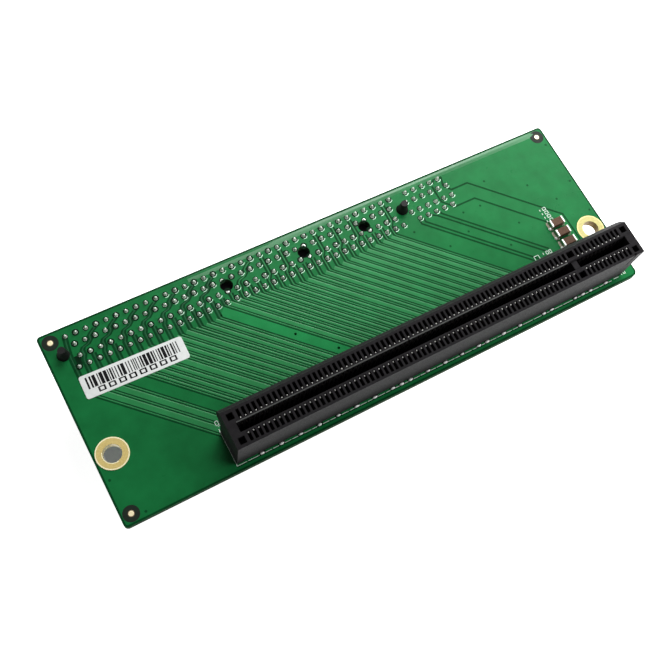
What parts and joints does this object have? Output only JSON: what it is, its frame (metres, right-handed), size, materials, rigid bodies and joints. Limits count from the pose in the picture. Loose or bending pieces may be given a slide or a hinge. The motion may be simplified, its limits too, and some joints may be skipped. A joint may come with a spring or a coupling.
{
  "type": "pcie riser card",
  "caption": "Flat green riser board with a long keyed card slot on top, an edge plug underneath, two plated mounting holes and a row of chip capacitors.",
  "frame": {"origin": "midpoint between the two mounting holes, on the underside of the board", "axes": "+X along the board towards the slot's short end, +Y from the slot's edge to the plug's edge, +Z out of the board's top side, the way the slot opens"},
  "size_m": [0.115, 0.0394, 0.0279],
  "materials": {
    "laminate": "satin green solder mask on glass laminate",
    "gold": "gold on copper",
    "housing_plastic": "fine matte moulding",
    "contact_metal": "gold-flashed spring metal",
    "solder": "bright solder",
    "capacitor_end": "tinned",
    "ceramic": "dull ceramic",
    "label_paper": "matte paper"
  },
  "bodies": {
    "root": {"barcode_label": "label_paper", "capacitor_1": "ceramic", "capacitor_2": "ceramic", "capacitor_3": "ceramic", "capacitor_ends_1": "capacitor_end", "capacitor_ends_2": "capacitor_end", "capacitor_ends_3": "capacitor_end", "circuit_board": "laminate", "mounting_ring_left": "gold", "mounting_ring_right": "gold", "plug_contacts_back_long": "contact_metal", "plug_contacts_back_short": "contact_metal", "plug_contacts_front_long": "contact_metal", "plug_contacts_front_short": "contact_metal", "plug_housing": "housing_plastic", "plug_joints_back_inner": "solder", "plug_joints_back_outer": "solder", "plug_joints_front_inner": "solder", "plug_joints_front_outer": "solder", "slot_contacts_back_long": "contact_metal", "slot_contacts_back_short": "contact_metal", "slot_contacts_front_long": "contact_metal", "slot_contacts_front_short": "contact_metal", "slot_housing": "housing_plastic", "slot_joints_back_inner": "solder", "slot_joints_back_outer": "solder", "slot_joints_front_inner": "solder", "slot_joints_front_outer": "solder"}
  },
  "joints": []
}
